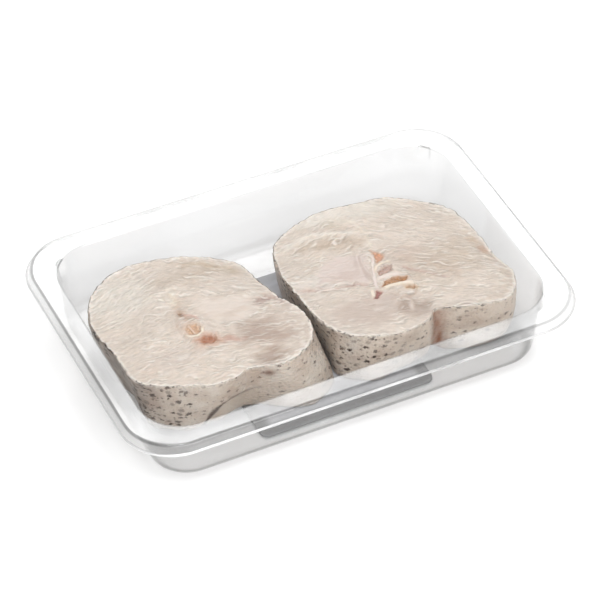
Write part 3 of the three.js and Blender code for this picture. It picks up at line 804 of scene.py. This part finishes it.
def make_steak(name, steak, look, skin_inset, seam_bearing, material):
    spokes = Spokes(steak, AROUND, seam_bearing)
    rings, skins = steak_rings(spokes, look, skin_inset)
    vertices, faces = loft(rings)
    piece = new_piece(name, vertices, faces, material, name.replace("flesh", "steak"))
    sharpen_ring(piece, AROUND, 0)

    x, y, z = vertices.T
    rows, count = rings.shape[:2]
    bearing = np.tile(spokes.bearing, rows)
    skin = np.repeat(skins, count)
    around = np.tile(spokes.perimeter * np.arange(count) / count, rows)
    rear = smoothstep(np.sin(np.radians(bearing)), -0.1, 0.5)
    skin = skin + 1.2 * skin * (1 - skin) * noise(around / 1.5, 0, look["seed"] + 13)
    skin = smoothstep(skin, mix(0.3, 0.05, rear), mix(0.8, 0.35, rear))
    edge_z = np.tile(rings[FACE_ROWS - 1][:, 2], rows)
    down = np.maximum(edge_z - z, 0)

    _, cut_colour, smooth = cut_face(spokes, look, x, y)
    skin_colour, flecks = skin_look(look, bearing, x, z, down)
    if skin_inset is crease_inset:
        skin_colour, flecks, smooth = mark_crease(x, y, z, skin_colour, flecks, smooth)
    if skin_inset is slit_inset:
        skin_colour, flecks = mark_slit(x, y, z, down, skin_colour, flecks)
    colour = dye(cut_colour, skin_colour, skin)
    flecks = flecks * smoothstep(skin, 0.3, 0.9)
    fibre = np.column_stack([*fibre_grid(spokes, look, x, y), np.zeros(len(x))])
    paint(piece, shade=colour, skin=skin, smooth=smooth, flecks=flecks, fibre=fibre)
    map_skin(piece, rings, faces, spokes.perimeter)
    return spokes


BONE_AROUND = 320
BONE_ROWS = 64
BONE_SIDE_ROWS = 4


def make_backbone(name, spokes, look, material):
    bone = spokes.steak["bone"]
    bearing = np.arange(BONE_AROUND) * 360 / BONE_AROUND
    facing = towards(bearing)
    edge = bone_reach(bone, bearing)

    def ring(share, height):
        x = bone["x"] + edge * share * facing[:, 0]
        y = bone["y"] + edge * share * facing[:, 1]
        return np.column_stack([x, y, height(x, y)])

    def top(x, y):
        return CUT_HEIGHT + cut_face(spokes, look, x, y)[0]

    rings = [ring(index / BONE_ROWS, top) for index in range(1, BONE_ROWS + 1)]
    for index in range(1, BONE_SIDE_ROWS + 1):
        share = index / BONE_SIDE_ROWS
        rings.append(ring(1, lambda x, y: mix(top(x, y), bed_height(x, y), share)))
    rings.append(ring(0.5, bed_height))
    hub_x, hub_y = np.array([bone["x"]]), np.array([bone["y"]])
    hubs = [[bone["x"], bone["y"], float(level(hub_x, hub_y)[0])] for level in (top, bed_height)]
    vertices, faces = loft(rings, hubs)
    piece = new_piece(name, vertices, faces, material, name.replace("spine", "backbone"))
    sharpen_ring(piece, BONE_AROUND, BONE_ROWS - 1)
    x, y, _ = vertices.T
    _, colour, smooth = cut_face(spokes, look, x, y)
    none = np.zeros(len(x))
    fibre = np.column_stack([*fibre_grid(spokes, look, x, y), none])
    paint(piece, shade=colour, skin=none, smooth=smooth, flecks=none, fibre=fibre)


# Tray and pad


CORNER_STEPS = 48


def rounded_rings(half_x, half_y, radius, z, bulge=0):
    """Rounded rectangles, one for each entry of the arrays. bulge widens each corner's middle."""
    values = np.broadcast_arrays(half_x, half_y, radius, z, bulge)
    half_x, half_y, radius, z, bulge = (np.atleast_1d(np.asarray(v, float))[:, None] for v in values)
    rings = []
    share = np.linspace(0, 1, CORNER_STEPS + 1)
    for corner in range(4):
        sign_x = 1 if corner in (0, 3) else -1
        sign_y = 1 if corner < 2 else -1
        angle = (corner + share) * math.pi / 2
        from_middle = np.abs(share - 0.5) * radius * math.pi / 2
        out = radius + bulge * fall(from_middle, LUG_WIDTH / 2 - LUG_FLANK, LUG_WIDTH / 2)
        x = sign_x * (half_x - radius) + out * np.cos(angle)
        y = sign_y * (half_y - radius) + out * np.sin(angle)
        rings.append(np.stack([x, y, np.broadcast_to(z, x.shape)], axis=-1))
    return np.concatenate(rings, axis=1)


def softened(points, trims, steps=8):
    """A chain of points with each inner corner rounded over the trimmed length at both sides.

    A column for each corner follows, which rises to 1 at the middle of its bend."""
    bends = np.zeros((len(points), len(trims)))
    points = np.column_stack([np.array(points, float), bends])
    result = [points[0]]
    for index, (before, corner, after, trim) in enumerate(zip(points, points[1:], points[2:], trims)):
        start = corner + (before - corner) * trim / np.linalg.norm((before - corner)[[0, 2]])
        end = corner + (after - corner) * trim / np.linalg.norm((after - corner)[[0, 2]])
        for step in range(steps + 1):
            t = step / steps
            point = (1 - t) ** 2 * start + 2 * t * (1 - t) * corner + t * t * end
            point[4 + index] = math.sin(math.pi * t)
            result.append(point)
    result.append(points[-1])
    return np.array(result)


def make_tray(material):
    half = SHEET / 2
    top, foot = TRAY_TOP - half, LIP_FOOT_Z
    # Inset from the flange's edge along X and along Y, height, and the corner's radius.
    # The first ring lies on the flat floor.
    chain = [
        (FLOOR_INSET_X + 14, FLOOR_INSET_Y + 14, half, FLOOR_RADIUS - 10),
        (FLOOR_INSET_X, FLOOR_INSET_Y, half, FLOOR_RADIUS),
        (FLANGE_WIDTH, FLANGE_WIDTH, top, FLANGE_INNER_RADIUS),
        (0, 0, top, FLANGE_RADIUS),
        (LIP_FLARE - LIP_REACH, LIP_FLARE - LIP_REACH, foot + half, FLANGE_RADIUS + LIP_REACH - LIP_FLARE),
        (half - LIP_REACH, half - LIP_REACH, foot, FLANGE_RADIUS + LIP_REACH - half),
    ]
    line = softened(chain, [FLOOR_FILLET, SHEET_BEND, SHEET_BEND, 0.5])
    fine = [line[0]]
    for before, after in zip(line, line[1:]):
        pieces = max(1, int(np.linalg.norm((after - before)[[0, 2]]) / 1.5))
        fine += [mix(before, after, (k + 1) / pieces) for k in range(pieces)]
    line = np.array(fine)
    wall = line[:, 0] > FLANGE_WIDTH - 0.05
    lug = LUG_REACH * smoothstep(line[:, 2], LUG_BOTTOM_Z, LUG_FULL_Z) * wall
    slope = np.gradient(line[:, [0, 2]], axis=0)
    slope /= np.linalg.norm(slope, axis=1, keepdims=True)
    normal_out, normal_up = slope[:, 1], -slope[:, 0]

    def surface(side):
        shift = side * half
        return rounded_rings(
            FLANGE_X - line[:, 0] - shift * normal_out,
            FLANGE_Y - line[:, 1] - shift * normal_out,
            line[:, 3] - shift * normal_out,
            line[:, 2] + shift * normal_up,
            lug,
        )

    rings = np.concatenate([surface(1), surface(-1)[::-1]])
    vertices, faces = loft(rings, [[0, 0, SHEET], [0, 0, 0]])
    piece = new_piece("clear_tray", vertices, faces, material, "tray")
    # Painted shade: the sheet lets less light through at its bends, more so towards the front and the left,
    # and its rolled edges catch the light.
    floor_bend, inner_fold, outer_fold, lip_foot = line[:, 4:].T
    to_end = np.hypot(line[:, 0] - line[-1, 0], line[:, 2] - line[-1, 2])
    on_floor = fall(line[:, 2], 0.5, FLOOR_FILLET)
    on_flange = (line[:, 2] > top - 0.05) & (line[:, 0] < FLANGE_WIDTH)
    turn = (np.arange(4)[:, None] + np.linspace(0, 1, CORNER_STEPS + 1)).ravel() * math.pi / 2
    front, left = smoothstep(-np.sin(turn), -0.2, 0.7), smoothstep(-np.cos(turn), 0.1, 0.9)
    on_lip = (line[:, 0] < 0) & (line[:, 2] < top - 0.6)
    dark = np.outer(floor_bend ** 4, 0.05 + 0.3 * front) + np.outer(outer_fold, 0.1 + 0.16 * left)
    dark = dark + np.outer(on_lip, -0.055 * front) + (0.02 * on_flange - 0.03 * on_floor)[:, None]
    rolled_edge = np.maximum(0.8 * lip_foot, fall(to_end, 0.5, 1.1))
    glint = 0.13 * on_flange + 0.3 * inner_fold ** 2 + rolled_edge
    glint = np.repeat(glint[:, None], len(turn), axis=1)

    def on_both_faces(values):
        return np.concatenate([values.ravel(), values[::-1].ravel(), [0, 0]])

    paint(piece, dark=on_both_faces(dark), glint=on_both_faces(glint))


PAD_ROWS = 56
PAD_BORDER = 4
PAD_BORDER_THICKNESS = 1
PAD_RADIUS = 4
DIMPLE_PITCH = 3.6


def make_pad(material):
    size = (PAD_HIGH - PAD_LOW) / 2
    middle = (PAD_HIGH + PAD_LOW) / 2
    floor, top = PAD_LOW[2], PAD_HIGH[2]
    inset = np.linspace(size[0] * 0.94, 0, PAD_ROWS)
    rings = rounded_rings(size[0] - inset, size[1] - inset, np.maximum(PAD_RADIUS - inset, 0.8), 0)
    x, y = rings[..., 0] + middle[0], rings[..., 1] + middle[1]
    fluff = smoothstep(inset, PAD_BORDER * 0.7, PAD_BORDER * 2.4)[:, None]
    height = mix(PAD_BORDER_THICKNESS, top - floor, fluff)
    dimples = 1
    for slant in (x + y, x - y):
        dimples = dimples * (0.5 + 0.5 * np.cos(slant * math.pi / DIMPLE_PITCH))
    height = height - 0.5 * dimples * fluff - 0.25 * (1 + noise(x / 7, y / 7, 5)) * fluff
    height = height - 0.12 * (1 - fluff) * (1 + np.sin(inset * 7)[:, None])
    upper = np.stack([x, y, floor + height], axis=-1)
    lower = upper[-1:].copy()
    lower[..., 2] = floor
    hubs = [[*middle[:2], top - 0.4], [*middle[:2], floor]]
    vertices, faces = loft(np.concatenate([upper, lower]), hubs)
    piece = new_piece("grey_pad", vertices, faces, material, "absorbent_pad")
    # Painted shade: the border darkens more towards the front.
    border = fall(inset, PAD_BORDER, PAD_BORDER * 2)[:, None] * mix(0.3, 1, smoothstep(-y, 0, 20))
    paint(piece, border=np.concatenate([border.ravel(), border[-1], [0, 0]]))


# Materials


class Nodes:
    """Short calls for building one material."""

    def __init__(self, name):
        self.material = bpy.data.materials.new(name)
        self.material.use_nodes = True
        self.tree = self.material.node_tree
        self.tree.nodes.clear()

    def add(self, kind, inputs=(), **settings):
        made = self.tree.nodes.new("ShaderNode" + kind)
        for key, value in settings.items():
            setattr(made, key, value)
        for key, value in dict(inputs).items():
            if isinstance(value, bpy.types.NodeSocket):
                self.tree.links.new(value, made.inputs[key])
            else:
                made.inputs[key].default_value = value
        return made

    def value(self, name):
        return self.add("Attribute", attribute_name=name).outputs["Fac"]

    def vector(self, name):
        return self.add("Attribute", attribute_name=name).outputs["Vector"]

    def math(self, operation, a, b=0.0, clamp=False):
        return self.add("Math", {0: a, 1: b}, operation=operation, use_clamp=clamp).outputs[0]

    def plus(self, a, b):
        return self.math("ADD", a, b)

    def minus(self, a, b, clamp=False):
        return self.math("SUBTRACT", a, b, clamp)

    def times(self, a, b):
        return self.math("MULTIPLY", a, b)

    def blend(self, share, a, b, kind="MIX"):
        # Sockets 6 and 7 take the colours, and output 2 gives one.
        return self.add("Mix", {0: share, 6: a, 7: b}, data_type="RGBA", blend_type=kind).outputs[2]

    def ramp(self, value, low, high, to_low=0.0, to_high=1.0):
        return self.add(
            "MapRange",
            {"Value": value, "From Min": low, "From Max": high, "To Min": to_low, "To Max": to_high},
            interpolation_type="SMOOTHSTEP",
        ).outputs["Result"]

    def object_place(self):
        return self.add("TexCoord").outputs["Object"]

    def noise(self, vector, scale, detail=2.0, roughness=0.5):
        return self.add(
            "TexNoise", {"Vector": vector, "Scale": scale, "Detail": detail, "Roughness": roughness}
        ).outputs["Fac"]

    def scaled(self, vector, by):
        return self.add("VectorMath", {0: vector, 1: by}, operation="MULTIPLY").outputs[0]

    def out(self, shader):
        self.tree.links.new(shader, self.add("OutputMaterial").inputs["Surface"])
        return self.material


def rgba(shade):
    return (*[float(v) for v in shade], 1.0)


def fish_material():
    n = Nodes("raw_hake")
    shade, skin, smooth = n.vector("shade"), n.value("skin"), n.value("smooth")
    fibre = n.vector("fibre")
    fine = n.noise(n.scaled(fibre, (0.36, 0.95, 0)), 1.0, 3.0, 0.6)
    coarse = n.noise(n.scaled(fibre, (0.25, 0.5, 0)), 1.0, 2.0)
    flesh = n.times(n.minus(1.0, skin), n.minus(1.0, smooth))
    # Fibre streaks, lighter on the bump's ridges and darker in its grooves: partly painted shading.
    fibre_tone_and_shade = n.ramp(fine, 0.32, 0.68, 0.93, 1.06)
    fibre_tone_and_shade = n.plus(n.times(n.minus(fibre_tone_and_shade, 1.0), flesh), 1.0)
    fibre_tone_and_shade = n.add("CombineXYZ", {0: fibre_tone_and_shade, 1: fibre_tone_and_shade, 2: fibre_tone_and_shade}).outputs[0]
    tone = n.blend(1.0, shade, fibre_tone_and_shade, "MULTIPLY")

    # Dark flecks of the scales, in loose rows round the skin.
    place = n.add("UVMap", uv_map="skin_map").outputs["UV"]
    wander = n.add("TexNoise", {"Vector": place, "Scale": 0.55, "Detail": 2.0}).outputs["Color"]
    wander = n.add("VectorMath", {0: wander, 1: (0.5, 0.5, 0.5)}, operation="SUBTRACT").outputs[0]
    wander = n.scaled(wander, (2.2, 1.6, 0))
    place_bent = n.add("VectorMath", {0: place, 1: wander}, operation="ADD").outputs[0]
    ragged = n.times(n.minus(n.noise(place, 1.3, 3.0, 0.65), 0.5), 0.85)
    flecks = n.value("flecks")
    fleck_mask = None
    for cell, size, most, strength in (((4.2, 2.8), 0.38, 0.85, 1.0), ((2.6, 1.9), 0.28, 0.5, 0.8)):
        at = n.scaled(place_bent, (1 / cell[0], 1 / cell[1], 0))
        cells = n.add("TexVoronoi", {"Vector": at, "Scale": 1.0, "Randomness": 0.8}, voronoi_dimensions="2D")
        draw = n.add("SeparateColor", {"Color": cells.outputs["Color"]})
        present = n.ramp(n.minus(n.times(flecks, most), draw.outputs[0]), -0.02, 0.02)
        radius = n.times(n.plus(n.times(draw.outputs[1], 0.7), 0.3), size)
        radius = n.times(radius, n.plus(n.times(flecks, 0.8), 0.45))
        edge = n.minus(n.plus(radius, ragged), cells.outputs["Distance"])
        depth = n.ramp(draw.outputs[2], 0.0, 0.9, 0.4 * strength, strength)
        depth = n.times(depth, n.plus(n.times(flecks, 0.55), 0.45))
        mask = n.times(n.times(n.ramp(edge, -0.09, 0.2), present), depth)
        fleck_mask = mask if fleck_mask is None else n.math("MAXIMUM", fleck_mask, mask)
    tone = n.blend(fleck_mask, tone, rgba(SPECK))

    # Relief finer than the mesh: fibres on the cut, pores on smooth tissue, scales on the skin.
    at = n.scaled(place, (0.62, 0.75, 0))
    scales = n.add("TexVoronoi", {"Vector": at, "Scale": 1.0}, voronoi_dimensions="2D").outputs["Distance"]
    pores = n.noise(n.object_place(), 900.0, 2.0)
    relief = n.times(n.plus(fine, n.times(coarse, 0.6)), flesh)
    relief = n.plus(relief, n.times(n.times(scales, skin), -0.9))
    relief = n.plus(relief, n.times(pores, 0.12))
    bump = n.add("Bump", {"Height": relief, "Strength": 1.0, "Distance": 0.0005}).outputs["Normal"]
    gloss = n.ramp(n.noise(n.scaled(fibre, (0.12, 0.3, 0)), 1.0, 3.0), 0.35, 0.7, 0.28, 0.5)
    roughness = n.plus(gloss, n.times(skin, 0.04))
    # The cut is wet, the smooth tissue less so, and the skin least.
    dry = n.plus(n.times(smooth, 0.4), n.times(skin, 0.5))
    coat = n.minus(0.7, dry, clamp=True)
    shader = n.add("BsdfPrincipled", {
        "Base Color": tone, "Roughness": roughness, "IOR": 1.4, "Normal": bump,
        "Subsurface Weight": 0.2, "Subsurface Radius": (1.0, 0.55, 0.35), "Subsurface Scale": 0.001,
        "Coat Weight": coat, "Coat Roughness": 0.15, "Coat Normal": bump,
    })
    return n.out(shader.outputs[0])


def pad_material():
    n = Nodes("absorbent_pad_film")
    place = n.object_place()
    weave = n.noise(place, 700.0, 3.0)
    cloud = n.noise(place, 60.0, 3.0)
    tone = n.blend(n.ramp(cloud, 0.3, 0.7), rgba(pigment(184, 185, 190)), rgba(pigment(204, 205, 209)))
    tone = n.blend(n.times(weave, 0.2), tone, rgba(pigment(134, 135, 140)))
    # The sealed border is darker than the filled middle, and darker still towards the front as painted
    # shade.
    tone = n.blend(n.times(n.value("border"), 0.8), tone, rgba(pigment(116, 116, 115)))
    bump = n.add("Bump", {"Height": weave, "Strength": 0.4, "Distance": 0.0002}).outputs["Normal"]
    shader = n.add("BsdfPrincipled", {"Base Color": tone, "Roughness": 0.62, "Normal": bump})
    return n.out(shader.outputs[0])


def plastic_material():
    n = Nodes("clear_plastic")
    facing = n.add("LayerWeight", {"Blend": 0.5}).outputs["Facing"]
    glint = n.value("glint")
    through = n.ramp(facing, 0.1, 1.0, 0.942, 0.85)
    # The painted shade of the bends takes from what the sheet lets through.
    through = n.times(through, n.minus(1.0, n.value("dark")))
    grey = n.add("CombineColor", {0: through, 1: through, 2: through}).outputs[0]
    clear = n.add("BsdfTransparent", {"Color": grey})
    ripple = n.noise(n.object_place(), 45.0, 2.0)
    bump = n.add("Bump", {"Height": ripple, "Strength": 0.25, "Distance": 0.0008}).outputs["Normal"]
    streaks = n.ramp(n.noise(n.object_place(), 38.0, 3.0), 0.3, 0.7, 0.55, 1.25)
    glint = n.times(glint, streaks)
    roughness = n.plus(n.times(glint, 0.5), 0.06)
    gloss = n.add("BsdfGlossy", {"Color": (1, 1, 1, 1), "Roughness": roughness, "Normal": bump})
    # Both faces of the sheet mirror as a first surface does: 4% head on and all of it edge on.
    mirror = n.plus(n.times(n.math("POWER", facing, 5.0), 0.96), 0.04)
    mirror = n.math("MAXIMUM", mirror, n.times(glint, 0.65))
    mixed = n.add("MixShader", {0: mirror, 1: clear.outputs[0], 2: gloss.outputs[0]})
    return n.out(mixed.outputs[0])


def floor_material():
    n = Nodes("pale_floor")
    shader = n.add("BsdfPrincipled", {
        "Base Color": (0.94, 0.94, 0.94, 1), "Roughness": 0.9, "Specular IOR Level": 0.1,
        "Emission Color": (1, 1, 1, 1), "Emission Strength": TABLE_GLOW,
    })
    return n.out(shader.outputs[0])


# Studio


# The pale table glows a little, as a lit one does for a catalogue picture. Studio sizes are in metres.
TABLE_GLOW = 0.17
TABLE_HALF = 8
TABLE_GAP = 0.0002
ROOM_LIGHT = 0.46
CAMERA_AZIMUTH = -25.73
CAMERA_ELEVATION = 43.026
CAMERA_DISTANCE = 1.651
CAMERA_TARGET = Vector((0.010724, 0.021743, 0))
CAMERA_LENS = 201.6


def direction(azimuth, elevation):
    a, e = math.radians(azimuth), math.radians(elevation)
    return Vector((math.sin(a) * math.cos(e), -math.cos(a) * math.cos(e), math.sin(e)))


def place_camera():
    camera = new_object("camera", bpy.data.cameras.new("camera"))
    back = direction(CAMERA_AZIMUTH, CAMERA_ELEVATION)
    camera.location = CAMERA_TARGET + back * CAMERA_DISTANCE
    camera.rotation_euler = (-back).to_track_quat("-Z", "Y").to_euler()
    camera.data.lens = CAMERA_LENS
    bpy.context.scene.camera = camera


def soft_light(name, azimuth, elevation, distance, size, watts):
    data = bpy.data.lights.new(name, "AREA")
    data.shape = "RECTANGLE"
    data.size, data.size_y = size
    data.energy = watts
    light = new_object(name, data)
    toward = direction(azimuth, elevation)
    light.location = toward * distance
    light.rotation_euler = (-toward).to_track_quat("-Z", "Y").to_euler()


def make_studio():
    mesh = bpy.data.meshes.new("floor")
    corners = [(x * TABLE_HALF, y * TABLE_HALF, 0) for x, y in ((-1, -1), (1, -1), (1, 1), (-1, 1))]
    mesh.from_pydata(corners, [], [(0, 1, 2, 3)])
    mesh.materials.append(floor_material())
    floor = new_object("floor", mesh)
    floor.location.z = -TABLE_GAP
    world = bpy.data.worlds.new("studio")
    world.use_nodes = True
    background = world.node_tree.nodes["Background"].inputs
    background["Color"].default_value = (1, 1, 1, 1)
    background["Strength"].default_value = ROOM_LIGHT
    bpy.context.scene.world = world
    # The key stands behind on the right, where the flange mirrors it to the camera.
    soft_light("key", 180 + CAMERA_AZIMUTH, CAMERA_ELEVATION, 1.5, (0.85, 0.75), 6.5)
    soft_light("fill", CAMERA_AZIMUTH + 20, 35, 2.0, (1.6, 1.2), 20.5)
    soft_light("top", CAMERA_AZIMUTH, 84, 1.2, (0.35, 0.3), 3.6)
    bpy.context.scene.view_settings.view_transform = "Standard"


place_camera()
make_studio()
fish = fish_material()
make_tray(plastic_material())
make_pad(pad_material())
left_spokes = make_steak("flesh_left", LEFT_STEAK, LEFT_LOOK, crease_inset, 5, fish)
right_spokes = make_steak("flesh_right", RIGHT_STEAK, RIGHT_LOOK, slit_inset, 175, fish)
make_backbone("spine_left", left_spokes, LEFT_LOOK, fish)
make_backbone("spine_right", right_spokes, RIGHT_LOOK, fish)
